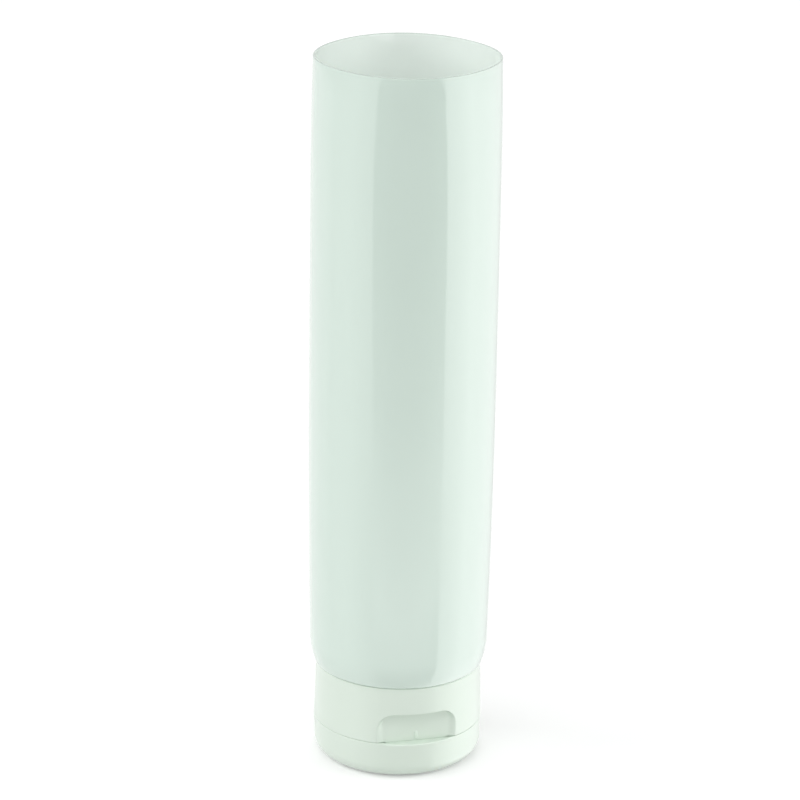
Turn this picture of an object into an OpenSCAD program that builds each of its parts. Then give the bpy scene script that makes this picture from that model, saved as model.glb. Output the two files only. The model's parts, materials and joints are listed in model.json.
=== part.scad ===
// Squeeze tube with an open filling end, standing on its closed flip-top cap.
// The lid's resting face is at z = 0, the open end points up (+Z), the thumb recess
// faces -Y and the lid's hinge is at +Y. Sizes are in millimetres.

/* [Tube] */
// Overall height, from the lid's resting face to the open end
total_h = 194; // [140:1:240]
// Outside diameter at the open end
tube_d = 50; // [46:0.5:60]
// Thickness of the sleeve's wall
sleeve_wall = 0.5; // [0.4:0.05:0.9]
// Height of the stretch that narrows towards the shoulder
taper_h = 73; // [40:1:90]
// How far the radius narrows along that stretch
taper_in = 0.84; // [0.2:0.02:1.4]
// Section radius where the sleeve rounds in above the shoulder
turn_r = 23.7; // [16:0.1:32]
// How far that round turns in before the shoulder's edge, in degrees
turn_angle = 17.7; // [10:0.1:26]
// Section radius of the shoulder's outer edge
shoulder_edge_r = 1.1; // [0.5:0.05:1.4]
// Thickness of the shoulder
shoulder_t = 1.6; // [1:0.1:2.4]
// How far the shoulder falls from its rim to the neck
shoulder_drop = 3; // [1:0.1:4]

/* [Neck] */
// Outside diameter of the neck at the root of its thread
neck_d = 22; // [18:0.5:24]
// Thickness of the neck's wall
neck_wall = 1.5; // [1:0.1:2.5]
// Lead-in chamfer at the neck's end
neck_chamfer = 0.6; // [0.2:0.1:0.9]
// Height of the thread that stands on the neck
thread_h = 1; // [0.6:0.1:1.4]

/* [Cap] */
// Height of the closed cap, from its resting face to its top edge
cap_h = 26.2; // [25:0.1:32]
// Height of the line where the lid parts from the base
parting_z = 10.5; // [9.5:0.1:11.2]
// How far the cap's top edge stands in from the shoulder's rim
cap_set_in = 0.6; // [0.2:0.05:1]
// How far the cap widens from its top edge to the parting line
cap_flare = 0.4; // [0.1:0.05:0.8]
// How far the lid narrows from the parting line to its rounded edge
lid_draft = 0.2; // [0.05:0.05:0.6]
// Section radius of the lid's rounded lower edge
lid_edge_r = 4.4; // [2:0.1:5.5]
// Section radius of the base's top edge
base_edge_r = 0.7; // [0.2:0.05:0.9]
// Thickness of the cap's walls and of the lid's face
cap_wall = 1.3; // [1:0.1:1.6]
// Thickness of the deck that closes the base
deck_t = 1.5; // [1:0.1:2]
// Chamfer on both sides of the parting line
parting_chamfer = 0.2; // [0.1:0.05:0.4]

/* [Thumb recess] */
// Width of the recess's flat floor
recess_floor_w = 15.6; // [12:0.2:17]
// Width of each ramp beside the floor
recess_ramp_w = 3.25; // [1.5:0.05:3.4]
// Depth of the recess at its middle
recess_depth = 3.7; // [3.3:0.1:4]
// Height of the recess above the parting line
recess_h = 8.9; // [6:0.1:11]
// Radius of the recess's upper corners
recess_corner_r = 4.4; // [1:0.1:5]
// Width of the small upright nib on the recess's floor
nib_w = 0.9; // [0.4:0.1:1.6]
// Length of that nib
nib_l = 1.5; // [0.8:0.1:3]
// Height of the nib's lower end above the parting line
nib_rise = 0.5; // [0.4:0.1:4]
// Thickness of the lid's lip below the recess
lip_t = 2; // [1.6:0.1:3]
// How far the lip's top sinks below the parting line
lip_drop = 0.7; // [0.2:0.05:1]

/* [Hinge] */
// Width of the flat behind the cap that the hinge film lies on
hinge_flat_w = 16; // [15:0.5:18]
// Width of the hinge film
film_w = 13; // [8:0.5:14]
// Thickness of the hinge film
film_t = 0.4; // [0.3:0.05:0.5]
// Section radius of the folded film, at the middle of its thickness
film_r = 0.55; // [0.5:0.05:0.8]

/* [Spout and seal] */
// Diameter of the dispensing orifice
orifice_d = 4; // [3.8:0.1:5]
// Outside diameter of the spout where it leaves the deck
spout_d = 9; // [8:0.5:12]
// How far the spout narrows to its tip, on each side
spout_draft = 0.5; // [0.2:0.1:0.9]
// How far the spout stands out of the deck
spout_l = 4.2; // [3:0.1:5]
// Rounded edge of the spout's tip
spout_edge = 0.6; // [0.2:0.1:0.9]
// How far the lid's seal pin reaches into the spout
seal_reach = 2; // [1.6:0.1:2.4]
// Width of the seal pin's foot beyond the pin, on each side
pin_foot = 0.9; // [0.4:0.1:1.4]
// How far the base's locating ring stands into the lid
spigot_l = 1.2; // [0.8:0.1:1.6]
// Thickness of the locating ring
spigot_t = 1.2; // [0.8:0.1:1.6]

/* [Ribs] */
// Number of ribs between the collar and the skirt
rib_n = 8; // [4:2:12]
// Thickness of each rib
rib_t = 1; // [0.8:0.1:1.4]
// Height of each rib above the deck
rib_h = 7; // [4:0.5:8]

/* [Fits] */
// Gap between the lid and the base at the parting line
parting_gap = 0.25; // [0.15:0.05:0.4]
// Gap between the tube and the cap that it is screwed into
seat_gap = 0.3; // [0.2:0.05:0.4]
// Clearance around the neck's thread and inside the lid
side_gap = 0.3; // [0.2:0.05:0.5]
// Clearance around the seal pin
seal_gap = 0.45; // [0.4:0.05:0.6]
// Gap between the two hinge flats when the lid is turned right over
fold_gap = 0.7; // [0.5:0.05:1.2]

/* [Hidden] */
$fn = 128;
tube_colour = [0.89, 0.93, 0.91];
cap_colour = [0.91, 0.94, 0.92];
curve_steps = 8;
taper_steps = 12;
beyond = 2;

// The tube's section, worked out from the shoulder up and from the open end in
tube_r = tube_d / 2;
shoulder_z = cap_h + seat_gap;
taper_slope = atan(2 * taper_in / taper_h);
taper_end_r = tube_r - taper_in;
turn_end_z = shoulder_z + shoulder_edge_r * (1 - sin(turn_angle));
turn_top_z = turn_end_z + turn_r * (sin(turn_angle) - sin(taper_slope));
taper_top_z = turn_top_z + taper_h;
turn_c = [taper_end_r - turn_r * cos(taper_slope), turn_top_z + turn_r * sin(taper_slope)];
edge_c = turn_c + (turn_r - shoulder_edge_r) * [cos(turn_angle), -sin(turn_angle)];
shoulder_rim_r = turn_c[0] + turn_r * cos(turn_angle);
shoulder_top_z = shoulder_z + shoulder_t;
inner_turn_r = turn_r - sleeve_wall;
inner_corner_z = shoulder_top_z + shoulder_t;
inner_turn_angle = asin((turn_c[1] - inner_corner_z) / inner_turn_r);
inner_corner_r = turn_c[0] + inner_turn_r * cos(inner_turn_angle);

// The cap's radii and levels
cap_top_r = shoulder_rim_r - cap_set_in;
cap_r = cap_top_r + cap_flare;
lid_r = cap_r - lid_draft;
lid_top_z = parting_z - parting_gap / 2;
base_z = parting_z + parting_gap / 2;
deck_top_z = base_z + deck_t;
seat_in_r = cap_top_r - cap_wall - side_gap;

// The neck and the collar that its thread turns in
neck_r = neck_d / 2;
neck_bore_r = neck_r - neck_wall;
neck_end_z = deck_top_z + seat_gap;
neck_top_z = shoulder_z - shoulder_drop;
collar_in_r = neck_r + thread_h + side_gap;
collar_out_r = collar_in_r + cap_wall;
collar_top_z = neck_top_z - seat_gap;

// The recess, the lip below it and the hinge flat opposite
recess_y = cap_r - recess_depth;
recess_half_w = recess_floor_w / 2 + recess_ramp_w;
recess_top_z = parting_z + recess_h;
ramp_end_y = sqrt(cap_r * cap_r - recess_half_w * recess_half_w);
tongue_y = recess_y - parting_chamfer;
lip_y = tongue_y + side_gap;
flat_y = sqrt(cap_r * cap_r - hinge_flat_w * hinge_flat_w / 4);
flat_top_z = 2 * parting_z + side_gap;
hinge_y = flat_y + fold_gap / 2;

// The spout and the seal pin that closes it
spout_r = spout_d / 2;
spout_tip_r = spout_r - spout_draft;
spout_z = base_z - spout_l;
pin_r = orifice_d / 2 - seal_gap;
pin_top_z = spout_z + seal_reach;
pin_foot_z = spout_z - pin_r;
spigot_r = cap_r - cap_wall - side_gap;

// Points along an arc; the last one is left out where the next stretch starts on it
function arc(c, r, from, to, with_end = true) = [
    for (i = [0:curve_steps - (with_end ? 0 : 1)])
        let (a = from + (to - from) * i / curve_steps)
        c + r * [cos(a), sin(a)]
];

function reversed(points) = [for (i = [len(points) - 1:-1:0]) points[i]];

// The sleeve's long narrowing line, set in from the outside by a wall
function taper_line(inset) = [
    for (i = [0:taper_steps - 1])
        let (t = i / taper_steps)
        [tube_r - inset - taper_in * t * t, taper_top_z - taper_h * t]
];

// Sleeve, shoulder and neck, fused as one piece
module tube() {
    outside = concat(
        [[tube_r, total_h]],
        taper_line(0),
        arc(turn_c, turn_r, -taper_slope, -turn_angle, false),
        arc(edge_c, shoulder_edge_r, -turn_angle, -90)
    );
    shoulder_and_neck = [
        [seat_in_r, shoulder_z],
        [neck_r, neck_top_z],
        [neck_r, neck_end_z + neck_chamfer],
        [neck_r - neck_chamfer, neck_end_z],
        [neck_bore_r, neck_end_z],
        [neck_bore_r, neck_top_z + shoulder_t],
        [seat_in_r, shoulder_top_z],
        [inner_corner_r - shoulder_t, shoulder_top_z]
    ];
    inside = concat(
        [[tube_r - sleeve_wall, total_h]],
        taper_line(sleeve_wall),
        arc(turn_c, inner_turn_r, -taper_slope, -inner_turn_angle)
    );
    color(tube_colour)
        rotate_extrude()
            polygon(concat(outside, shoulder_and_neck, reversed(inside)));
}

// Thumb pocket, or the block that backs it when grown by a wall
module thumb_pocket(grow) {
    far = 6;
    floor_end = [recess_floor_w / 2 + grow, grow - recess_y];
    ramp_far = floor_end + far * [recess_ramp_w, recess_y - ramp_end_y];
    half_w = recess_half_w + grow;
    top_z = recess_top_z + grow;
    corner = [half_w - recess_corner_r, top_z - recess_corner_r];
    plan = [
        floor_end,
        ramp_far,
        [ramp_far[0], -cap_r - beyond],
        [-ramp_far[0], -cap_r - beyond],
        [-ramp_far[0], ramp_far[1]],
        [-floor_end[0], floor_end[1]]
    ];
    right_edge = concat([[half_w, base_z - beyond]], arc(corner, recess_corner_r, 0, 90));
    left_edge = [for (p = reversed(right_edge)) [-p[0], p[1]]];
    intersection() {
        translate([0, 0, base_z - beyond])
            linear_extrude(recess_h + 2 * beyond)
                polygon(plan);
        rotate([90, 0, 0])
            linear_extrude(cap_r + beyond)
                polygon(concat(right_edge, left_edge));
    }
}

// Flat behind the hinge, or the block that backs it when grown by a wall
module hinge_flat(grow) {
    run_out = cap_wall + beyond;
    near_y = flat_y - grow;
    side = [
        [near_y, -beyond],
        [near_y + run_out, -beyond],
        [near_y + run_out, flat_top_z + grow + run_out],
        [near_y, flat_top_z + grow]
    ];
    rotate([90, 0, 90])
        linear_extrude(2 * cap_r, center = true)
            polygon(side);
}

// Skirt and deck as one shell, with backing behind the pocket and the flat
module base_shell() {
    outline = concat(
        [[0, base_z], [cap_r - parting_chamfer, base_z], [cap_r, base_z + parting_chamfer]],
        arc([cap_top_r - base_edge_r, cap_h - base_edge_r], base_edge_r, 0, 90),
        [[0, cap_h]]
    );
    hollow = [
        [0, deck_top_z],
        [cap_r - cap_wall, deck_top_z],
        [cap_top_r - cap_wall, cap_h],
        [cap_top_r - cap_wall, cap_h + beyond],
        [0, cap_h + beyond]
    ];
    difference() {
        rotate_extrude() polygon(outline);
        difference() {
            rotate_extrude() polygon(hollow);
            thumb_pocket(cap_wall);
            hinge_flat(cap_wall);
        }
    }
}

module collar() {
    translate([0, 0, deck_top_z - deck_t / 2])
        difference() {
            cylinder(r = collar_out_r, h = collar_top_z - deck_top_z + deck_t / 2);
            translate([0, 0, deck_t / 2])
                cylinder(r = collar_in_r, h = cap_h);
        }
}

module ribs() {
    from_r = collar_in_r + cap_wall / 2;
    to_r = cap_top_r - cap_wall / 2;
    for (i = [0:rib_n - 1])
        rotate([0, 0, (i + 0.5) * 360 / rib_n - 90])
            translate([from_r, -rib_t / 2, deck_top_z - deck_t / 2])
                cube([to_r - from_r, rib_t, rib_h + deck_t / 2]);
}

module spout() {
    rotate_extrude()
        polygon([
            [0, spout_z],
            [spout_tip_r - spout_edge, spout_z],
            [spout_tip_r, spout_z + spout_edge],
            [spout_r, base_z],
            [spout_r, base_z + deck_t / 2],
            [0, base_z + deck_t / 2]
        ]);
}

// Outline of the locating ring: it carries the recess's floor down in front, clear of the lid's lip
module spigot_outline(inset) {
    front_y = tongue_y - inset;
    back_y = flat_y - cap_wall - 2 * side_gap - inset;
    intersection() {
        circle(r = spigot_r - inset);
        translate([-cap_r, -front_y])
            square([2 * cap_r, front_y + back_y]);
    }
}

module spigot() {
    translate([0, 0, base_z - spigot_l])
        linear_extrude(spigot_l + deck_t / 2)
            difference() {
                spigot_outline(0);
                spigot_outline(spigot_t);
            }
}

module nib() {
    translate([0, -recess_y, parting_z + nib_rise])
        cylinder(d = nib_w, h = nib_l);
}

// Base of the cap: skirt, deck, threaded collar, ribs, spout and locating ring
module cap_base() {
    color(cap_colour) {
        difference() {
            union() {
                base_shell();
                collar();
                ribs();
                spout();
                spigot();
            }
            thumb_pocket(0);
            hinge_flat(0);
            translate([0, 0, spout_z - beyond])
                cylinder(d = orifice_d, h = deck_top_z - spout_z + 2 * beyond);
        }
        nib();
    }
}

// Outside of the lid, filled
module lid_body() {
    round_c = [lid_r - lid_edge_r, lid_edge_r];
    rotate_extrude()
        polygon(concat(
            [[0, 0]],
            arc(round_c, lid_edge_r, -90, 0),
            [[cap_r, lid_top_z - parting_chamfer], [cap_r - parting_chamfer, lid_top_z], [0, lid_top_z]]
        ));
}

// Inside of the lid, up past its rim
module lid_hollow() {
    round_c = [lid_r - lid_edge_r, lid_edge_r];
    rotate_extrude()
        polygon(concat(
            [[0, cap_wall]],
            arc(round_c, lid_edge_r - cap_wall, -90, 0),
            [[cap_r - cap_wall, lid_top_z], [cap_r - cap_wall, lid_top_z + beyond], [0, lid_top_z + beyond]]
        ));
}

module lip_block() {
    translate([-cap_r, -cap_r - beyond, lid_top_z - lip_t])
        cube([2 * cap_r, cap_r + beyond - lip_y, lip_t + 2 * beyond]);
}

// Shallow dip in the lip's top, as wide as the recess
module lip_dip() {
    half_floor = recess_floor_w / 2;
    dip_z = lid_top_z - lip_drop;
    half_top = half_floor + recess_ramp_w * (1 + beyond / lip_drop);
    rotate([90, 0, 0])
        translate([0, 0, lip_y - beyond])
            linear_extrude(cap_r - lip_y + 2 * beyond)
                polygon([
                    [-half_floor, dip_z],
                    [half_floor, dip_z],
                    [half_top, lid_top_z + beyond],
                    [-half_top, lid_top_z + beyond]
                ]);
}

module seal_pin() {
    rotate_extrude()
        polygon(concat(
            [[0, cap_wall / 2], [pin_r + pin_foot, cap_wall / 2], [pin_r, pin_foot_z]],
            arc([0, pin_top_z - pin_r], pin_r, 0, 90)
        ));
}

// Lid of the cap: rounded cup with a lip under the recess and a seal pin
module cap_lid() {
    color(cap_colour) {
        difference() {
            lid_body();
            difference() {
                lid_hollow();
                lip_block();
                hinge_flat(cap_wall);
            }
            hinge_flat(0);
            lip_dip();
        }
        seal_pin();
    }
}

// Folded film that joins the lid to the base: two short legs and a half round about the lid's axis
module hinge_web() {
    leg_l = fold_gap / 2;
    outer_r = film_r + film_t / 2;
    inner_r = film_r - film_t / 2;
    section = concat(
        [[-leg_l, -outer_r]],
        arc([0, 0], outer_r, -90, 90),
        [[-leg_l, outer_r], [-leg_l, inner_r]],
        arc([0, 0], inner_r, 90, -90),
        [[-leg_l, -inner_r]]
    );
    color(cap_colour)
        translate([0, hinge_y, parting_z])
            rotate([90, 0, 90])
                linear_extrude(film_w, center = true)
                    polygon(section);
}

tube();
cap_base();
cap_lid();
hinge_web();
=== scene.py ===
import json
import math

import bmesh
import bpy
import numpy as np
from mathutils import Matrix, Vector


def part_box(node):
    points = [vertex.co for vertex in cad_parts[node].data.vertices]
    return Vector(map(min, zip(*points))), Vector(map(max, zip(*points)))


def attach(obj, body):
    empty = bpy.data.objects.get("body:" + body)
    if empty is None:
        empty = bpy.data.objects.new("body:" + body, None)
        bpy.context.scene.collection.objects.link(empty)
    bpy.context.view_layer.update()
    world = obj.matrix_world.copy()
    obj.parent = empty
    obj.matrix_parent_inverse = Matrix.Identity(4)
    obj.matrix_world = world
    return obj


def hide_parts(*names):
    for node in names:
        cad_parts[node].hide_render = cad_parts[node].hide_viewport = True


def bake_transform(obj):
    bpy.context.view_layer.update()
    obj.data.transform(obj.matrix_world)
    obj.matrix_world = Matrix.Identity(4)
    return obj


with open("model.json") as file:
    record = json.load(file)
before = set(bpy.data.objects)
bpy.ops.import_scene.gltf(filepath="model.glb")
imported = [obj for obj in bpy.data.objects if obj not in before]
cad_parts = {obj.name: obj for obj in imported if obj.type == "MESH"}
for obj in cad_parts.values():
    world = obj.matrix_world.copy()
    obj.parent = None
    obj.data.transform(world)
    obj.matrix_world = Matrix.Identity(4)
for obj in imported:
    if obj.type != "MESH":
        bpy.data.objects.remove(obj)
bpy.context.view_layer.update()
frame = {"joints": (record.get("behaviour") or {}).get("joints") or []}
mm = 0.001                   # in metres
near = 1e-3                  # millimetres within which a point counts as on a surface
weld = 1e-7                  # metres within which two points become one
sliver = 1e-8

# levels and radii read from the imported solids, in millimetres
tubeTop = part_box("tube")[1].z / mm
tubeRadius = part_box("tube")[1].x / mm
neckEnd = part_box("tube")[0].z / mm
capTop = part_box("cap_base")[1].z / mm
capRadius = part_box("cap_lid")[1].x / mm
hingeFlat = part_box("hinge_web")[0].y / mm
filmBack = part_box("hinge_web")[1].y / mm
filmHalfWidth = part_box("hinge_web")[1].x / mm
hingeJoint = next(j for j in frame["joints"] if j["name"] == "lid_flip")
hingeAxis = [v / mm for v in hingeJoint["pos_m"]]
partingLine = hingeAxis[2]
partingGap = 0.07            # what shows between the shut lid and the base
lidRim = partingLine - partingGap / 2
baseRim = partingLine + partingGap / 2
print("frame: tube", round(tubeTop, 1), "mm tall, cap", round(capTop, 1), "mm tall")


def arcLine(centre, radius, fromDeg, toDeg, steps):
    angles = np.radians(np.linspace(fromDeg, toDeg, steps + 1))
    return np.column_stack([centre[0] + radius * np.cos(angles), centre[1] + radius * np.sin(angles)])


def straight(a, b, steps):
    t = np.linspace(0, 1, steps + 1)[:, None]
    return np.array(a, float) * (1 - t) + np.array(b, float) * t


def profile(*parts):
    # joins stretches of outline and drops points that repeat
    points = np.vstack(parts)
    keep = np.r_[True, np.linalg.norm(np.diff(points, axis=0), axis=1) > 1e-6]
    return points[keep]


def smoothRamp(t):
    t = np.clip(t, 0, 1)
    return t * t * (3 - 2 * t)


def softMin(a, b, width):
    # the smaller of two surfaces, with a fillet of about that width where they cross
    h = np.clip(0.5 + 0.5 * (b - a) / width, 0, 1)
    return b * (1 - h) + a * h - width * h * (1 - h)


def turnedShell(name, rows, closedLoop):
    # rows is (outline points, angles, 3) in millimetres; the angles run right round
    rows = np.asarray(rows, float) * mm
    outlineCount, angleCount = rows.shape[:2]
    mesh = bpy.data.meshes.new(name)
    faces = []
    last = outlineCount if closedLoop else outlineCount - 1
    for p in range(last):
        q = (p + 1) % outlineCount
        for n in range(angleCount):
            m = (n + 1) % angleCount
            faces.append((p * angleCount + n, p * angleCount + m, q * angleCount + m, q * angleCount + n))
    mesh.from_pydata(rows.reshape(-1, 3).tolist(), [], faces)
    return finishMesh(name, mesh)


def finishMesh(name, mesh, sharpDeg=38):
    # welds the poles, points the faces outward and keeps crisp edges crisp
    work = bmesh.new()
    work.from_mesh(mesh)
    bmesh.ops.remove_doubles(work, verts=work.verts, dist=weld)
    bmesh.ops.dissolve_degenerate(work, edges=work.edges, dist=sliver)
    bmesh.ops.recalc_face_normals(work, faces=work.faces)
    work.to_mesh(mesh)
    work.free()
    mesh.shade_smooth()
    mesh.set_sharp_from_angle(angle=math.radians(sharpDeg))
    piece = bpy.data.objects.new(name, mesh)
    bpy.context.scene.collection.objects.link(piece)
    return piece


def spun(outline, angles, radiusOf=None):
    # turns (r, z) points about the tube's axis; angle 0 faces the thumb recess
    r = np.repeat(outline[:, :1], len(angles), 1)
    z = np.repeat(outline[:, 1:], len(angles), 1)
    if radiusOf is not None:
        r = radiusOf(r, z, angles[None, :])
    return np.stack([r * np.sin(angles), -r * np.cos(angles), z], -1)


def ring(angles, radius, z):
    # one row of a turned shell, where radius and height may change round it
    radius = np.broadcast_to(radius, angles.shape)
    z = np.broadcast_to(z, angles.shape)
    return np.stack([radius * np.sin(angles), -radius * np.cos(angles), z], -1)[None]


leastCosine = 0.5            # a plane cuts a round outline only within 60 degrees of its own direction


def cutByPlane(r, cosine, planeAt):
    # cosine is that of the angle between each point and the plane's direction
    limit = np.where(cosine > leastCosine, planeAt / np.maximum(cosine, leastCosine), np.inf)
    return np.minimum(r, limit)


threadFade = 0.07            # part of a turn over which each end of a thread runs out


def threadHeight(z, angles, start, pitch, turns, crest, flank):
    # a single ridge that climbs round the axis and fades at both ends
    turn = (angles / (2 * np.pi)) % 1.0
    height = np.zeros(np.broadcast(z, angles).shape)
    for k in range(int(turns) + 1):
        along = turn + k
        fade = smoothRamp(along / threadFade) * smoothRamp((turns - along) / threadFade)
        across = np.abs(z - start - pitch * along)
        height = np.maximum(height, fade * smoothRamp((crest / 2 + flank - across) / flank))
    return height


# materials

def newMaterial(name):
    material = bpy.data.materials.new(name)
    material.use_nodes = True
    tree = material.node_tree
    return material, tree, tree.nodes["Principled BSDF"]


def node(tree, kind, inputs=None, **settings):
    made = tree.nodes.new(kind)
    for key, value in settings.items():
        setattr(made, key, value)
    for key, value in (inputs or {}).items():
        made.inputs[key].default_value = value
    return made


tubeFinish = {
    "colour": (0.668, 0.79, 0.713),
    "cloudScale": 38.0,       # size of the cloudiness, per metre
    "mottle": 0.012,          # how far the pigment varies
    "roughness": 0.1,
    "roughnessSpread": 0.03,
    "streakScale": 420.0,     # drawn lines, per metre
    "streakStretch": 0.02,    # the lines run along the sleeve
    "streakBump": 0.012,
    "streakDepth": 0.0004,
    "wavinessScale": 70.0,
    "wavinessBump": 0.02,
    "wavinessDepth": 0.001,
    "coat": 0.6,
    "coatRoughness": 0.03,
    "ior": 1.52,
    "paintedInnerGlow": (0.925, 0.99, 0.945),   # painted light: a brighter copy of the tube colour inside the sleeve, standing for light glowing through the thin wall
    "paintedRimShade": (0.45, 0.54, 0.48),    # painted shade: a darker copy of the tube colour on the faces that look up round the mouth
}

capFinish = {
    "colour": (0.698, 0.796, 0.704),
    "cloudScale": 60.0,
    "mottle": 0.012,
    "roughness": 0.34,
    "roughnessSpread": 0.06,
    "grainScale": 2600.0,     # fine spark-eroded mould texture
    "grainBump": 0.035,
    "grainDepth": 0.0002,
    "flowScale": 55.0,
    "flowBump": 0.012,
    "flowDepth": 0.001,
    "coat": 0.8,
    "coatRoughness": 0.26,
    "ior": 1.5,
}


def shaded(colour, factor):
    return tuple(min(1.0, c * factor) for c in colour) + (1.0,)


def pigment(tree, bsdf, vector, finish):
    # faint cloudiness in the colour and in the gloss
    cloud = node(tree, "ShaderNodeTexNoise", {
        "Scale": finish["cloudScale"], "Detail": 4.0, "Roughness": 0.55,
    })
    tree.links.new(vector, cloud.inputs["Vector"])
    tint = node(tree, "ShaderNodeMix", data_type="RGBA")
    tint.inputs[6].default_value = shaded(finish["colour"], 1 - finish["mottle"])
    tint.inputs[7].default_value = shaded(finish["colour"], 1 + finish["mottle"])
    tree.links.new(cloud.outputs["Fac"], tint.inputs[0])
    tree.links.new(tint.outputs[2], bsdf.inputs["Base Color"])
    gloss = node(tree, "ShaderNodeMapRange", {
        "From Min": 0.3, "From Max": 0.7,
        "To Min": finish["roughness"] - finish["roughnessSpread"] / 2,
        "To Max": finish["roughness"] + finish["roughnessSpread"] / 2,
    })
    tree.links.new(cloud.outputs["Fac"], gloss.inputs["Value"])
    tree.links.new(gloss.outputs["Result"], bsdf.inputs["Roughness"])
    return tint.outputs[2]


def stackedBump(tree, bsdf, layers):
    # each layer is a height socket with its strength and its depth in metres
    previous = None
    for height, strength, depth in layers:
        bump = node(tree, "ShaderNodeBump", {"Strength": strength, "Distance": depth})
        tree.links.new(height, bump.inputs["Height"])
        if previous is not None:
            tree.links.new(previous.outputs["Normal"], bump.inputs["Normal"])
        previous = bump
    tree.links.new(previous.outputs["Normal"], bsdf.inputs["Normal"])


def glossyCoat(bsdf, finish):
    bsdf.inputs["IOR"].default_value = finish["ior"]
    bsdf.inputs["Coat Weight"].default_value = finish["coat"]
    bsdf.inputs["Coat Roughness"].default_value = finish["coatRoughness"]


def tubePlastic():
    finish = tubeFinish
    material, tree, bsdf = newMaterial("tubePlastic")
    place = node(tree, "ShaderNodeTexCoord")
    skin = pigment(tree, bsdf, place.outputs["Object"], finish)
    # the mesh says where the painted glow inside the sleeve and the painted shade round the mouth go
    for part in ("paintedInnerGlow", "paintedRimShade"):
        where = node(tree, "ShaderNodeAttribute", attribute_name=part)
        overlayMix = node(tree, "ShaderNodeMix", data_type="RGBA")
        tree.links.new(where.outputs["Fac"], overlayMix.inputs[0])
        tree.links.new(skin, overlayMix.inputs[6])
        overlayMix.inputs[7].default_value = finish[part] + (1.0,)
        skin = overlayMix.outputs[2]
    tree.links.new(skin, bsdf.inputs["Base Color"])
    stretch = node(tree, "ShaderNodeMapping", {"Scale": (1.0, 1.0, finish["streakStretch"])})
    tree.links.new(place.outputs["Object"], stretch.inputs["Vector"])
    streaks = node(tree, "ShaderNodeTexNoise", {"Scale": finish["streakScale"], "Detail": 3.0})
    tree.links.new(stretch.outputs["Vector"], streaks.inputs["Vector"])
    waves = node(tree, "ShaderNodeTexNoise", {"Scale": finish["wavinessScale"], "Detail": 1.0})
    tree.links.new(place.outputs["Object"], waves.inputs["Vector"])
    stackedBump(tree, bsdf, [
        (streaks.outputs["Fac"], finish["streakBump"], finish["streakDepth"]),
        (waves.outputs["Fac"], finish["wavinessBump"], finish["wavinessDepth"]),
    ])
    glossyCoat(bsdf, finish)
    return material


def capPlastic():
    finish = capFinish
    material, tree, bsdf = newMaterial("capPlastic")
    place = node(tree, "ShaderNodeTexCoord")
    pigment(tree, bsdf, place.outputs["Object"], finish)
    grain = node(tree, "ShaderNodeTexNoise", {"Scale": finish["grainScale"], "Detail": 2.0})
    flow = node(tree, "ShaderNodeTexNoise", {"Scale": finish["flowScale"], "Detail": 1.0})
    for texture in (grain, flow):
        tree.links.new(place.outputs["Object"], texture.inputs["Vector"])
    stackedBump(tree, bsdf, [
        (grain.outputs["Fac"], finish["grainBump"], finish["grainDepth"]),
        (flow.outputs["Fac"], finish["flowBump"], finish["flowDepth"]),
    ])
    glossyCoat(bsdf, finish)
    return material


tubeMaterial = tubePlastic()
capMaterial = capPlastic()
print("materials: tube and cap plastics made")


# tube

tubeShape = {
    "wall": 0.5,
    "taperHeight": 73.0,
    "taperIn": 0.84,
    "turnRadius": 23.7,
    "turnDeg": 17.7,
    "shoulderEdge": 1.1,
    "shoulderThick": 1.6,
    "shoulderDrop": 3.0,
    "seatInset": 2.2,        # from the shoulder's rim to where the cone starts
    "neckRadius": 11.0,
    "neckWall": 1.5,
    "neckChamfer": 0.6,
    "boreRound": 0.2,        # at the neck's end
    "throatRound": 0.4,      # where the bore meets the shoulder's inner face
    "seatGap": 0.3,
    "rimRound": 0.2,
    "mouthOval": 0.92,       # the thin open end isn't quite round
    "mouthLobes": 0.4,
    "mouthTurnDeg": -11.0,
    "mouthFade": 12.0,
    "threadHeight": 1.0,
    "threadPitch": 3.0,
    "threadTurns": 2.25,
    "threadStart": 1.6,      # above the neck's end
    "threadCrest": 0.7,
    "threadFlank": 0.6,
    "threadRows": 96,
    "angles": 288,
}


def markGlowAndRim(mesh, above):
    # painted light: faces that look in at the axis above the shoulder get the brighter painted glow,
    # faces that look up round the mouth get the painted shade
    spots = np.zeros(len(mesh.vertices) * 3)
    normals = np.zeros(len(mesh.vertices) * 3)
    mesh.vertices.foreach_get("co", spots)
    mesh.vertex_normals.foreach_get("vector", normals)
    spots, normals = spots.reshape(-1, 3), normals.reshape(-1, 3)
    fromAxis = np.hypot(spots[:, 0], spots[:, 1])
    outward = (spots[:, 0] * normals[:, 0] + spots[:, 1] * normals[:, 1]) / fromAxis
    mouth = (tubeTop - 2 * tubeShape["rimRound"]) * mm
    marks = {
        "paintedInnerGlow": smoothRamp(0.5 - outward) * (spots[:, 2] > above),
        # painted shade on the faces that look up round the mouth
        "paintedRimShade": smoothRamp(1.5 * normals[:, 2]) * (spots[:, 2] > mouth),
    }
    for name, values in marks.items():
        mesh.attributes.new(name, "FLOAT", "POINT").data.foreach_set("value", values)


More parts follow.
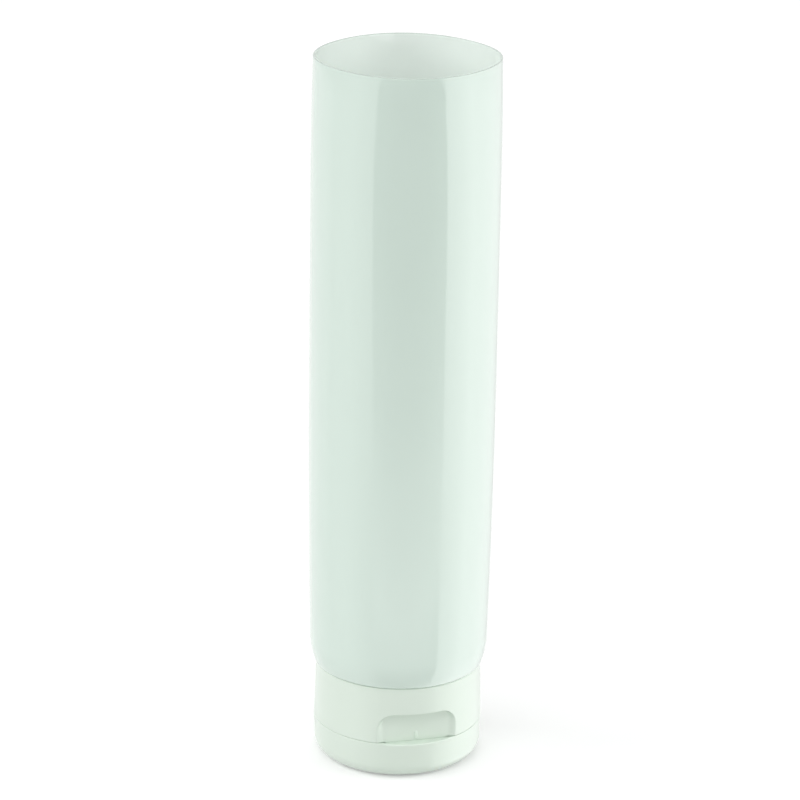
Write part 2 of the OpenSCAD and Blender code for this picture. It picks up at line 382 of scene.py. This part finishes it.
def buildTube():
    s = tubeShape
    wall = s["wall"]
    shoulder = capTop + s["seatGap"]
    slope = math.degrees(math.atan(2 * s["taperIn"] / s["taperHeight"]))
    turn = math.radians(s["turnDeg"])
    turnEnd = shoulder + s["shoulderEdge"] * (1 - math.sin(turn))
    turnTop = turnEnd + s["turnRadius"] * (math.sin(turn) - math.sin(math.radians(slope)))
    taperTop = turnTop + s["taperHeight"]
    taperEnd = tubeRadius - s["taperIn"]
    turnCentre = (taperEnd - s["turnRadius"] * math.cos(math.radians(slope)),
                  turnTop + s["turnRadius"] * math.sin(math.radians(slope)))
    reach = s["turnRadius"] - s["shoulderEdge"]
    edgeCentre = (turnCentre[0] + reach * math.cos(turn), turnCentre[1] - reach * math.sin(turn))
    rimRadius = turnCentre[0] + s["turnRadius"] * math.cos(turn)
    seatIn = rimRadius - s["seatInset"]
    neckTop = shoulder - s["shoulderDrop"]
    neckRadius, chamfer = s["neckRadius"], s["neckChamfer"]
    bore = neckRadius - s["neckWall"]
    boreRound, throatRound = s["boreRound"], s["throatRound"]
    thick = s["shoulderThick"]

    def sleeveSide(inset, upTo):
        t = np.linspace(0, 1, 40)
        radius = tubeRadius - inset
        taper = np.column_stack([radius - s["taperIn"] * t * t, taperTop - s["taperHeight"] * t])
        return profile(straight((radius, upTo), (radius, taperTop), 10), taper)

    innerCorner = shoulder + 2 * thick
    innerRadius = s["turnRadius"] - wall
    innerDeg = math.degrees(math.asin((turnCentre[1] - innerCorner) / innerRadius))
    cornerRadius = turnCentre[0] + innerRadius * math.cos(math.radians(innerDeg))
    rim = s["rimRound"]
    outside = profile(
        arcLine((tubeRadius - rim, tubeTop - rim), rim, 90, 0, 5),
        sleeveSide(0, tubeTop - rim),
        arcLine(turnCentre, s["turnRadius"], -slope, -s["turnDeg"], 20),
        arcLine(edgeCentre, s["shoulderEdge"], -s["turnDeg"], -90, 8),
    )
    neck = profile(
        straight(outside[-1], (seatIn, shoulder), 2),
        straight((seatIn, shoulder), (neckRadius, neckTop), 6),
        straight((neckRadius, neckTop), (neckRadius, neckEnd + chamfer), s["threadRows"]),
        arcLine((neckRadius - chamfer, neckEnd + chamfer), chamfer, 0, -90, 5),
        straight((neckRadius - chamfer, neckEnd), (bore + boreRound, neckEnd), 1),
        arcLine((bore + boreRound, neckEnd + boreRound), boreRound, -90, -180, 3),
        straight((bore, neckEnd + boreRound), (bore, neckTop + thick - throatRound), 6),
        arcLine((bore + throatRound, neckTop + thick - throatRound), throatRound, 180, 110, 4),
        straight((seatIn, shoulder + thick), (cornerRadius - thick, shoulder + thick), 2),
    )
    inside = profile(
        arcLine((tubeRadius - wall + rim, tubeTop - rim), rim, 90, 180, 5),
        sleeveSide(wall, tubeTop - rim),
        arcLine(turnCentre, innerRadius, -slope, -innerDeg, 16),
    )
    outline = profile(outside, neck, inside[::-1])
    angles = np.linspace(0, 2 * np.pi, s["angles"], endpoint=False)

    def shaped(r, z, a):
        around = a - math.radians(s["mouthTurnDeg"])
        slack = np.exp((z - tubeTop) / s["mouthFade"])
        r = r + slack * (s["mouthOval"] * np.cos(2 * around) + s["mouthLobes"] * np.cos(4 * around))
        onNeck = np.abs(r - neckRadius) < near
        ridge = threadHeight(z, a, neckEnd + s["threadStart"], s["threadPitch"], s["threadTurns"],
                             s["threadCrest"], s["threadFlank"])
        return np.where(onNeck, r + s["threadHeight"] * ridge, r)

    piece = turnedShell("squeezeTube", spun(outline, angles, shaped), True)
    # paints the glow inside the sleeve and the shade round the mouth
    markGlowAndRim(piece.data, shoulder * mm)
    piece.data.materials.append(tubeMaterial)
    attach(piece, "tube")
    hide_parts("tube")
    return piece


squeezeTube = buildTube()
print("tube:", len(squeezeTube.data.polygons), "faces")


# cap base

baseShape = {
    "wall": 1.3,
    "flare": 0.4,            # how far the skirt widens down to the parting line
    "kinkHeight": 21.6,      # most of the flare lies below this level
    "kinkOut": 0.12,         # and this much of it above
    "topRise": 0.28,         # the rim comes up to the tube's shoulder
    "edgeRound": 0.4,
    "rimRound": 0.16,
    "innerRound": 0.3,       # top edges inside the skirt and on the collar
    "deckFillet": 0.4,
    "deck": 1.5,
    "collarRadius": 12.3,
    "collarTop": 23.2,
    "spoutRadius": 4.5,
    "spoutDraft": 0.5,
    "spoutLength": 4.2,
    "spoutRound": 0.6,
    "spoutFillet": 0.5,      # at the deck, round the spout and into the orifice
    "tipRound": 0.25,
    "orifice": 2.0,
    "spigotLength": 1.2,
    "spigotThick": 1.2,
    "spigotRound": 0.25,
    "spigotLoop": 0.05,      # a loop this far down keeps the corner at the rim crisp
    "sideGap": 0.3,
    "flatRise": 0.3,         # how far the hinge flat runs above the folded lid
    "threadDepth": 0.85,
    "threadCrest": 0.5,
    "threadFlank": 0.55,
    "threadShort": 0.25,     # turns fewer than the neck's
    "skirtRows": 76,
    "innerRows": 24,
    "collarRows": 60,
}

recessShape = {
    "depth": 4.0,            # at the top of the recess
    "footDepth": 3.2,        # the floor leans out to this at the parting line
    "halfWidth": 11.05,
    "height": 8.45,
    "cornerRadius": 4.9,
    "sideFillet": 2.1,
    "topFillet": 0.8,
    "hollow": 2.0,           # 1 is a flat ramp, 2 a deep scoop
    "edgeFillet": 0.12,
    "tongueInset": 0.01,
    "nibWidth": 0.9,
    "nibLength": 1.3,
    "nibRise": 0.55,
    "nibProud": 0.2,
    "nibSoft": 1.3,
}

# first and last angle in degrees, then how many columns: close together at the nib,
# the recess's walls and the hinge flat's corners, wider elsewhere
capColumns = (
    (-34, -17, 54),
    (-17, -4, 16),
    (-4, 4, 26),
    (4, 17, 16),
    (17, 34, 54),
    (34, 150, 72),
    (150, 210, 75),
    (210, 326, 72),
)


def capAngles():
    return np.radians(np.concatenate([np.linspace(*span, endpoint=False) for span in capColumns]))


def recessSurface(x, z, skirt):
    # distance of the front surface from the axis, measured straight out at the recess
    r = recessShape
    climb = np.clip((z - partingLine) / r["height"], 0, 1)
    floor = capRadius - r["footDepth"] - (r["depth"] - r["footDepth"]) * climb
    top = partingLine + r["height"]
    corner = r["cornerRadius"]
    qx = np.abs(x) - (r["halfWidth"] - corner)
    qz = z - (top - corner)
    outsideCorner = np.hypot(np.maximum(qx, 0), np.maximum(qz, 0))
    inwards = -(outsideCorner + np.minimum(np.maximum(qx, qz), 0) - corner)
    upward = np.clip(np.maximum(qz, 0) / np.maximum(outsideCorner, 1e-9), 0, 1)
    upward = np.where((qx <= 0) & (qz <= 0), np.where(qz > qx, 1.0, 0.0), upward)
    fillet = r["sideFillet"] + (r["topFillet"] - r["sideFillet"]) * smoothRamp(upward)
    t = np.maximum(1 - inwards / fillet, 0)
    scoop = np.minimum(t, 1) ** r["hollow"]
    pocket = floor + np.maximum(skirt - floor, 0) * scoop + np.maximum(-inwards, 0)
    along = np.clip(z - partingLine - r["nibRise"], 0, r["nibLength"])
    fromNib = np.hypot(x, z - partingLine - r["nibRise"] - along)
    pocket = pocket + r["nibProud"] * smoothRamp(r["nibSoft"] - 2 * fromNib / r["nibWidth"])
    return softMin(skirt, pocket, r["edgeFillet"])


def buildCapBase():
    s = baseShape
    wall = s["wall"]
    topRadius = capRadius - s["flare"]
    rimTop = capTop + s["topRise"]
    deckTop = baseRim + s["deck"]
    angles = capAngles()
    flatTop = 2 * partingLine + s["flatRise"]
    spoutTip = baseRim - s["spoutLength"]
    tipRadius = s["spoutRadius"] - s["spoutDraft"]
    tongueAt = capRadius - recessShape["footDepth"] - recessShape["tongueInset"]

    rimRound, edge = s["rimRound"], s["edgeRound"]
    innerRound, fillet = s["innerRound"], s["deckFillet"]
    kink = (topRadius + s["kinkOut"], s["kinkHeight"])
    outer = profile(
        arcLine((capRadius - rimRound, baseRim + rimRound), rimRound, -90, 0, 4),
        straight((capRadius, baseRim + rimRound), kink, s["skirtRows"]),
        straight(kink, (topRadius, rimTop - edge), 10),
        arcLine((topRadius - edge, rimTop - edge), edge, 0, 90, 8),
    )
    innerTop, innerFoot = topRadius - wall, capRadius - wall
    inner = profile(
        arcLine((innerTop + innerRound, rimTop - innerRound), innerRound, 90, 180, 4),
        straight((innerTop, rimTop - innerRound), (innerFoot, deckTop + fillet), s["innerRows"]),
        arcLine((innerFoot - fillet, deckTop + fillet), fillet, 0, -90, 4),
    )
    frontFrom, backFrom = 0.6 * capRadius, 0.5 * capRadius     # where the recess and the flat take over

    def skirtRows(outline, inset):
        # the skirt with its recess in front and its flat behind, set in by a wall
        r, z = outline[:, :1], outline[:, 1:]
        a = angles[None, :]
        x = r * np.sin(a)
        plain = r * np.cos(a)
        recess = recessSurface(x, z, np.maximum(plain, near) + inset) - inset
        out = np.where(plain > frontFrom, recess, plain)
        runOut = np.maximum(z - flatTop - inset, 0)
        back = np.minimum(-plain, hingeFlat - inset + runOut)
        out = np.where(plain < -backFrom, -back, out)
        return np.stack([x, -out, np.broadcast_to(z, x.shape)], -1)

    def spigotRadius(inset):
        plainRadius = capRadius - wall - s["sideGap"] - inset
        backLimit = hingeFlat - wall - 2 * s["sideGap"] - inset
        inFront = cutByPlane(plainRadius, np.cos(angles), tongueAt - inset)
        return cutByPlane(inFront, -np.cos(angles), backLimit)

    collarIn, collarEdge = s["collarRadius"], s["collarTop"] - innerRound
    collarOut = collarIn + wall
    collar = profile(
        arcLine((collarOut + fillet, deckTop + fillet), fillet, -90, -180, 4),
        arcLine((collarOut - innerRound, collarEdge), innerRound, 0, 90, 4),
        arcLine((collarIn + innerRound, collarEdge), innerRound, 90, 180, 4),
        straight((collarIn, collarEdge), (collarIn, deckTop), s["collarRows"]),
    )
    orifice, tipRound = s["orifice"], s["tipRound"]
    spoutRound, spoutFillet = s["spoutRound"], s["spoutFillet"]
    throat = profile(
        straight((collarIn, deckTop), (orifice + spoutFillet, deckTop), 6),
        arcLine((orifice + spoutFillet, deckTop - spoutFillet), spoutFillet, 90, 180, 4),
        straight((orifice, deckTop - spoutFillet), (orifice, spoutTip + tipRound), 6),
        arcLine((orifice + tipRound, spoutTip + tipRound), tipRound, 180, 270, 3),
        arcLine((tipRadius - spoutRound, spoutTip + spoutRound), spoutRound, -90, 0, 5),
        straight((tipRadius, spoutTip + spoutRound), (s["spoutRadius"], baseRim - spoutFillet), 6),
        arcLine((s["spoutRadius"] + spoutFillet, baseRim - spoutFillet), spoutFillet, 180, 90, 4),
    )

    def withCollarThread(r, z, a):
        inCollar = np.abs(r - collarIn) < near
        pitch = tubeShape["threadPitch"]
        start = neckEnd + tubeShape["threadStart"] + pitch / 2
        turns = tubeShape["threadTurns"] - s["threadShort"]
        ridge = threadHeight(z, a, start, pitch, turns, s["threadCrest"], s["threadFlank"])
        return np.where(inCollar, r - s["threadDepth"] * ridge, r)

    soft, thick = s["spigotRound"], s["spigotThick"]
    spigotFoot = baseRim - s["spigotLength"]
    rows = np.concatenate([
        skirtRows(outer, 0.0),
        skirtRows(inner, wall),
        spun(collar, angles, withCollarThread),
        spun(throat, angles),
        ring(angles, spigotRadius(thick) - soft, baseRim),
        ring(angles, spigotRadius(thick), baseRim - soft),
        ring(angles, spigotRadius(thick), spigotFoot + soft),
        ring(angles, spigotRadius(thick - soft), spigotFoot),
        ring(angles, spigotRadius(soft), spigotFoot),
        ring(angles, spigotRadius(0.0), spigotFoot + soft),
        ring(angles, spigotRadius(0.0), baseRim - s["spigotLoop"]),
        ring(angles, spigotRadius(0.0), baseRim),
    ])
    piece = turnedShell("capBase", rows, True)
    piece.data.materials.append(capMaterial)
    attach(piece, "cap")
    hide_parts("cap_base")
    return piece


capBase = buildCapBase()
print("cap base:", len(capBase.data.polygons), "faces")


ribShape = {"count": 8, "thick": 1.0, "height": 7.0, "bevel": 0.2}


def buildRibs():
    s = ribShape
    wall = baseShape["wall"]
    deckTop = baseRim + baseShape["deck"]
    inner = baseShape["collarRadius"] + wall / 2
    outer = capRadius - baseShape["flare"] - wall / 2
    bottom = deckTop - baseShape["deck"] / 2
    low = Vector((inner, -s["thick"] / 2, bottom)) * mm
    high = Vector((outer, s["thick"] / 2, deckTop + s["height"])) * mm
    frontLimit = (capRadius - recessShape["depth"] - wall / 2) * mm
    work = bmesh.new()
    for i in range(s["count"]):
        angle = (i + 0.5) * 2 * math.pi / s["count"] - math.pi / 2
        # the two ribs behind the recess stop inside its wall
        reach = high.copy()
        towardsFront = -math.sin(angle)
        if towardsFront > leastCosine:
            reach.x = min(high.x, frontLimit / towardsFront)
        made = bmesh.ops.create_cube(work, size=1.0)["verts"]
        size = reach - low
        place = Matrix.Rotation(angle, 4, "Z") @ Matrix.Translation((low + reach) / 2)
        bmesh.ops.transform(work, matrix=place @ Matrix.Diagonal((*size, 1.0)), verts=made)
    bmesh.ops.bevel(work, geom=work.edges[:], offset=s["bevel"] * mm, segments=2, affect="EDGES")
    mesh = bpy.data.meshes.new("capRibs")
    work.to_mesh(mesh)
    work.free()
    piece = finishMesh("capRibs", mesh)
    piece.data.materials.append(capMaterial)
    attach(piece, "cap")
    return piece


capRibs = buildRibs()
print("cap ribs:", len(capRibs.data.polygons), "faces")


# cap lid

lidShape = {
    "wall": 1.3,
    "draft": 0.2,
    "edgeRound": 4.4,
    "rimRound": 0.18,
    "ledgeRound": 0.4,       # softer edge of the ledge below the recess
    "ledgeDrop": 0.08,       # at the ledge's front edge
    "ledgeFall": 0.2,        # how far it slopes down towards the recess
    "ledgeRise": 4.2,        # width of the slope at each end of the ledge
    "lip": 2.0,
    "lipGap": 0.03,
    "lipBevel": 0.1,
    "pinRadius": 1.55,
    "pinDraft": 0.02,
    "pinFoot": 0.9,
    "pinFillet": 0.6,
    "pinReach": 2.0,         # into the spout
}


def buildLid():
    s = lidShape
    wall, edge = s["wall"], s["edgeRound"]
    lowRadius = capRadius - s["draft"]
    centre = (lowRadius - edge, edge)
    angles = capAngles()
    cosine = np.cos(angles)
    lipAt = capRadius - recessShape["footDepth"] - recessShape["tongueInset"] + s["lipGap"]
    spoutTip = baseRim - baseShape["spoutLength"]
    pinTop = spoutTip + s["pinReach"]

    def ledge(radius):
        # 1 along the ledge, falling to 0 at the ends of the recess
        across = np.abs(radius * np.sin(angles))
        return np.where(cosine > 0, smoothRamp((recessShape["halfWidth"] - across) / s["ledgeRise"]), 0)

    def wallRadius(inset, z):
        r = capRadius - inset - s["draft"] * (lidRim - z) / (lidRim - edge)
        return cutByPlane(r, -cosine, hingeFlat - inset)

    face = np.linspace(0, centre[0], 12)
    rows = [ring(angles, r, 0.0) for r in face]
    for r, z in arcLine(centre, edge, -90, 0, 16)[1:]:
        rows.append(ring(angles, cutByPlane(r, -cosine, hingeFlat), z))
    edgeLedge = ledge(capRadius)
    rimTop = lidRim - s["ledgeDrop"] * edgeLedge
    rimRound = s["rimRound"] + (s["ledgeRound"] - s["rimRound"]) * edgeLedge
    for t in np.linspace(0, 1, 14)[1:]:
        z = edge + (rimTop - rimRound - edge) * t
        rows.append(ring(angles, wallRadius(0.0, z), z))
    for a in np.radians(np.linspace(0, 90, 9)[1:]):
        z = rimTop - rimRound * (1 - np.sin(a))
        rows.append(ring(angles, wallRadius(0.0, z) - rimRound * (1 - np.cos(a)), z))
    start = wallRadius(0.0, lidRim) - rimRound
    lipRadius = cutByPlane(wallRadius(wall, lidRim), cosine, lipAt)
    for t in np.linspace(0, 1, 10)[1:]:
        r = start + (lipRadius + s["lipBevel"] - start) * t
        rows.append(ring(angles, r, lidRim - (s["ledgeDrop"] + s["ledgeFall"] * t) * ledge(r)))
    lowest = s["ledgeDrop"] + s["ledgeFall"]
    rows.append(ring(angles, lipRadius, lidRim - lowest * ledge(lipRadius) - s["lipBevel"]))
    rows.append(ring(angles, lipRadius, lidRim - s["lip"]))
    for t in np.linspace(0, 1, 8):
        z = lidRim - s["lip"] + (edge - lidRim + s["lip"]) * t
        rows.append(ring(angles, wallRadius(wall, z), z))
    for r, z in arcLine(centre, edge - wall, 0, -90, 12)[1:]:
        rows.append(ring(angles, cutByPlane(r, -cosine, hingeFlat - wall), z))
    pinRadius, fillet = s["pinRadius"], s["pinFillet"]
    foot = pinRadius + s["pinFoot"] + fillet
    for r in np.linspace(centre[0], foot, 8)[1:]:
        rows.append(ring(angles, r, wall))
    pin = profile(
        arcLine((foot, wall + fillet), fillet, -90, -165, 4),
        straight((pinRadius + s["pinDraft"], spoutTip - pinRadius), (pinRadius, pinTop - pinRadius), 3),
        arcLine((0.0, pinTop - pinRadius), pinRadius, 0, 90, 8),
    )
    rows.append(spun(pin, angles))
    piece = turnedShell("capLid", np.concatenate(rows), False)
    piece.data.materials.append(capMaterial)
    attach(piece, "lid")
    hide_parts("cap_lid")
    return piece


capLid = buildLid()
print("cap lid:", len(capLid.data.polygons), "faces")


# hinge film

filmShape = {"thick": 0.4, "widthSteps": 24, "arcSteps": 20, "thinning": 0.12}


def buildFilm():
    s = filmShape
    outerR = filmBack - hingeAxis[1]
    innerR = outerR - s["thick"] + s["thinning"]
    legs = hingeAxis[1] - hingeFlat
    centre = (0.0, 0.0)
    # the film is thinnest where it folds
    section = profile(
        straight((-legs, -outerR), (0, -outerR), 3),
        arcLine(centre, outerR, -90, 90, s["arcSteps"]),
        straight((0, outerR), (-legs, outerR), 3),
        straight((-legs, outerR - s["thick"]), (0, innerR), 3),
        arcLine(centre, innerR, 90, -90, s["arcSteps"]),
        straight((0, -innerR), (-legs, s["thick"] - outerR), 3),
    )
    xs = np.linspace(-filmHalfWidth, filmHalfWidth, s["widthSteps"] + 1)
    count = len(section)
    verts = [(x * mm, (hingeAxis[1] + y) * mm, (hingeAxis[2] + z) * mm) for x in xs for y, z in section]
    faces = []
    for i in range(len(xs) - 1):
        for j in range(count):
            k = (j + 1) % count
            faces.append((i * count + j, i * count + k, (i + 1) * count + k, (i + 1) * count + j))
    faces.append(tuple(range(count)))
    faces.append(tuple(range((len(xs) - 1) * count, len(xs) * count))[::-1])
    mesh = bpy.data.meshes.new("hingeFilm")
    mesh.from_pydata(verts, [], faces)
    piece = finishMesh("hingeFilm", mesh)
    piece.data.materials.append(capMaterial)
    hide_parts("hinge_web")
    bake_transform(piece)
    return piece


hingeFilm = buildFilm()
print("hinge film:", len(hingeFilm.data.polygons), "faces")


# studio

studio = {
    "floorHalf": 1.1,
    "floorDrop": 0.0001,     # keeps the floor clear of the lid's face
    "floorGrey": 0.8,
    "floorRoughness": 0.9,
    "floorSpecular": 0.1,
    "floorLift": 0.25,       # added white that only the camera and reflections see
    "worldGrey": 0.32,
    # soft boxes: degrees round the tube from the camera (left is negative) and up, then watts
    "boxDistance": 3.0,
    "boxSize": 2.2,
    "boxes": {
        "leftBox": (-85.0, 30.0, 41.0),
        "rightBox": (85.0, 30.0, 32.0),
        "keyBox": (-20.0, 50.0, 27.0),
        "fillBox": (40.0, 12.0, 14.0),
        "backBox": (180.0, 55.0, 20.0),
    },
    # graded card that lies on the floor before the tube, seen only in gloss: metres out and level
    "flagHalfWidth": 0.6,
    "flagSteps": (
        (0.04, 0.7),
        (0.12, 1.5),
        (0.3, 0.6),
        (0.5, 0.22),
        (0.65, 0.3),
        (0.9, 0.7),
    ),
    # graded white cards stand at each side, also seen only in gloss
    "cardLift": 0.0003,
    "cardReach": 0.07,
    "cardHeight": 0.3,
    "cardSteps": 24,
    # where on the tube each shows: from degrees at foot and at head, to degrees, then its levels
    "cards": {
        "leftCard": (-15.3, -24.3, -50.0, (1.15, 1.3, 1.0)),
        "rightCard": (25.9, 25.3, 80.0, (1.9, 2.6, 1.8, 0.85)),
    },
}

cameraView = {
    "azimuthDeg": -15.159,
    "placeDeg": -15.2,
    "pitchDeg": 18.904,
    "rollDeg": 0.939,
    "distance": 0.8576,
    "height": 0.39402,
    "focalPixels": 3410.0,
    "imagePixels": 800.0,
    "sensor": 36.0,
    "clipNear": 0.01,
    "clipFar": 20.0,
}


def buildCamera():
    c = cameraView
    data = bpy.data.cameras.new("camera")
    data.sensor_width = c["sensor"]
    data.lens = c["focalPixels"] / c["imagePixels"] * c["sensor"]
    data.clip_start, data.clip_end = c["clipNear"], c["clipFar"]
    camera = bpy.data.objects.new("camera", data)
    bpy.context.scene.collection.objects.link(camera)
    place = math.radians(c["placeDeg"])
    spot = Vector((c["distance"] * math.sin(place), -c["distance"] * math.cos(place), c["height"]))
    turn = (Matrix.Rotation(math.radians(c["azimuthDeg"]), 4, "Z")
            @ Matrix.Rotation(math.radians(90 - c["pitchDeg"]), 4, "X")
            @ Matrix.Rotation(math.radians(c["rollDeg"]), 4, "Z"))
    camera.matrix_world = Matrix.Translation(spot) @ turn
    bpy.context.scene.camera = camera


def seenDirectly(tree):
    # 1 for the camera, reflections and see-through, 0 for the light that falls on things
    path = node(tree, "ShaderNodeLightPath")
    total = path.outputs["Is Camera Ray"]
    for kind in ("Is Glossy Ray", "Is Transmission Ray"):
        add = node(tree, "ShaderNodeMath", operation="ADD", use_clamp=True)
        tree.links.new(total, add.inputs[0])
        tree.links.new(path.outputs[kind], add.inputs[1])
        total = add.outputs[0]
    return total


def softBox(name, spot, target, size, power):
    light = bpy.data.lights.new(name, "AREA")
    light.shape = "RECTANGLE"
    light.size, light.size_y = size, size
    light.energy = power
    lamp = bpy.data.objects.new(name, light)
    bpy.context.scene.collection.objects.link(lamp)
    aim = (target - spot).to_track_quat("-Z", "Y").to_matrix().to_4x4()
    lamp.matrix_world = Matrix.Translation(spot) @ aim
    lamp.visible_camera = False


def buildLamps():
    s = studio
    turned = Matrix.Rotation(math.radians(cameraView["placeDeg"]), 3, "Z")
    middle = Vector((0, 0, tubeTop * mm / 2))
    for name, (aroundDeg, upDeg, power) in s["boxes"].items():
        around, up = math.radians(aroundDeg), math.radians(upDeg)
        out = Vector((math.sin(around) * math.cos(up), -math.cos(around) * math.cos(up), math.sin(up)))
        softBox(name, middle + turned @ out * s["boxDistance"], middle, s["boxSize"], power)


def gradedCard(name, verts, faces, levels):
    # glows at the level given for each point, and only reflections see it
    mesh = bpy.data.meshes.new(name)
    mesh.from_pydata(verts, [], faces)
    mesh.attributes.new("level", "FLOAT", "POINT").data.foreach_set("value", levels)
    card = bpy.data.objects.new(name, mesh)
    bpy.context.scene.collection.objects.link(card)
    card.matrix_world = Matrix.Rotation(math.radians(cameraView["placeDeg"]), 4, "Z")
    material, tree, bsdf = newMaterial(name)
    glow = node(tree, "ShaderNodeAttribute", attribute_name="level")
    tree.links.new(glow.outputs["Fac"], bsdf.inputs["Emission Strength"])
    bsdf.inputs["Emission Color"].default_value = (1, 1, 1, 1)
    bsdf.inputs["Base Color"].default_value = (0, 0, 0, 1)
    bsdf.inputs["Specular IOR Level"].default_value = 0.0
    mesh.materials.append(material)
    card.visible_camera = False
    card.visible_diffuse = False
    card.visible_shadow = False
    card.visible_transmission = False


def buildCards():
    s = studio
    half = s["flagHalfWidth"]
    low = s["cardLift"]
    verts = [(side * half, -out, low) for out, _ in s["flagSteps"] for side in (-1, 1)]
    faces = [(2 * i, 2 * i + 1, 2 * i + 3, 2 * i + 2) for i in range(len(s["flagSteps"]) - 1)]
    gradedCard("floorCard", verts, faces, [level for _, level in s["flagSteps"] for side in (-1, 1)])
    for name, (footDeg, headDeg, toDeg, steps) in s["cards"].items():
        verts, faces, levels = [], [], []
        for i in range(s["cardSteps"] + 1):
            t = i / s["cardSteps"]
            # each step stands where the tube's wall at that angle mirrors the camera's view
            for fromDeg, reach, z in ((footDeg, 0, 2 * low), (footDeg, s["cardReach"], 2 * low),
                                      (headDeg, s["cardReach"], s["cardHeight"])):
                a = math.radians(fromDeg + (toDeg - fromDeg) * t)
                x = capRadius * mm * math.sin(a) + reach * math.sin(2 * a)
                y = capRadius * mm * math.cos(a) + reach * math.cos(2 * a)
                verts.append((x, -y, z))
                levels.append(float(np.interp(t, np.linspace(0, 1, len(steps)), steps)))
            if i:
                faces += [(k - 3, k, k + 1, k - 2) for k in (3 * i, 3 * i + 1)]
        gradedCard(name, verts, faces, levels)


def buildFloor():
    s = studio
    mesh = bpy.data.meshes.new("floor")
    h = s["floorHalf"]
    mesh.from_pydata([(-h, -h, 0), (h, -h, 0), (h, h, 0), (-h, h, 0)], [], [(0, 1, 2, 3)])
    floor = bpy.data.objects.new("floor", mesh)
    bpy.context.scene.collection.objects.link(floor)
    floor.location.z = -s["floorDrop"]
    material, tree, bsdf = newMaterial("paleFloor")
    bsdf.inputs["Base Color"].default_value = (s["floorGrey"],) * 3 + (1.0,)
    bsdf.inputs["Roughness"].default_value = s["floorRoughness"]
    bsdf.inputs["Specular IOR Level"].default_value = s["floorSpecular"]
    lift = node(tree, "ShaderNodeMath", {1: s["floorLift"]}, operation="MULTIPLY")
    tree.links.new(seenDirectly(tree), lift.inputs[0])
    tree.links.new(lift.outputs[0], bsdf.inputs["Emission Strength"])
    bsdf.inputs["Emission Color"].default_value = (1, 1, 1, 1)
    mesh.materials.append(material)


def buildWorld():
    s = studio
    world = bpy.data.worlds.new("studio")
    bpy.context.scene.world = world
    world.use_nodes = True
    tree = world.node_tree
    backdrop = tree.nodes["Background"]
    seen = seenDirectly(tree)
    level = node(tree, "ShaderNodeMapRange", {"To Min": s["worldGrey"], "To Max": 1.0})
    tree.links.new(seen, level.inputs["Value"])
    tree.links.new(level.outputs["Result"], backdrop.inputs["Strength"])
    backdrop.inputs["Color"].default_value = (1, 1, 1, 1)


buildCamera()
buildFloor()
buildWorld()
buildCards()
buildLamps()
bpy.context.scene.view_settings.view_transform = "Standard"
print("studio: camera, floor, soft boxes and cards set")
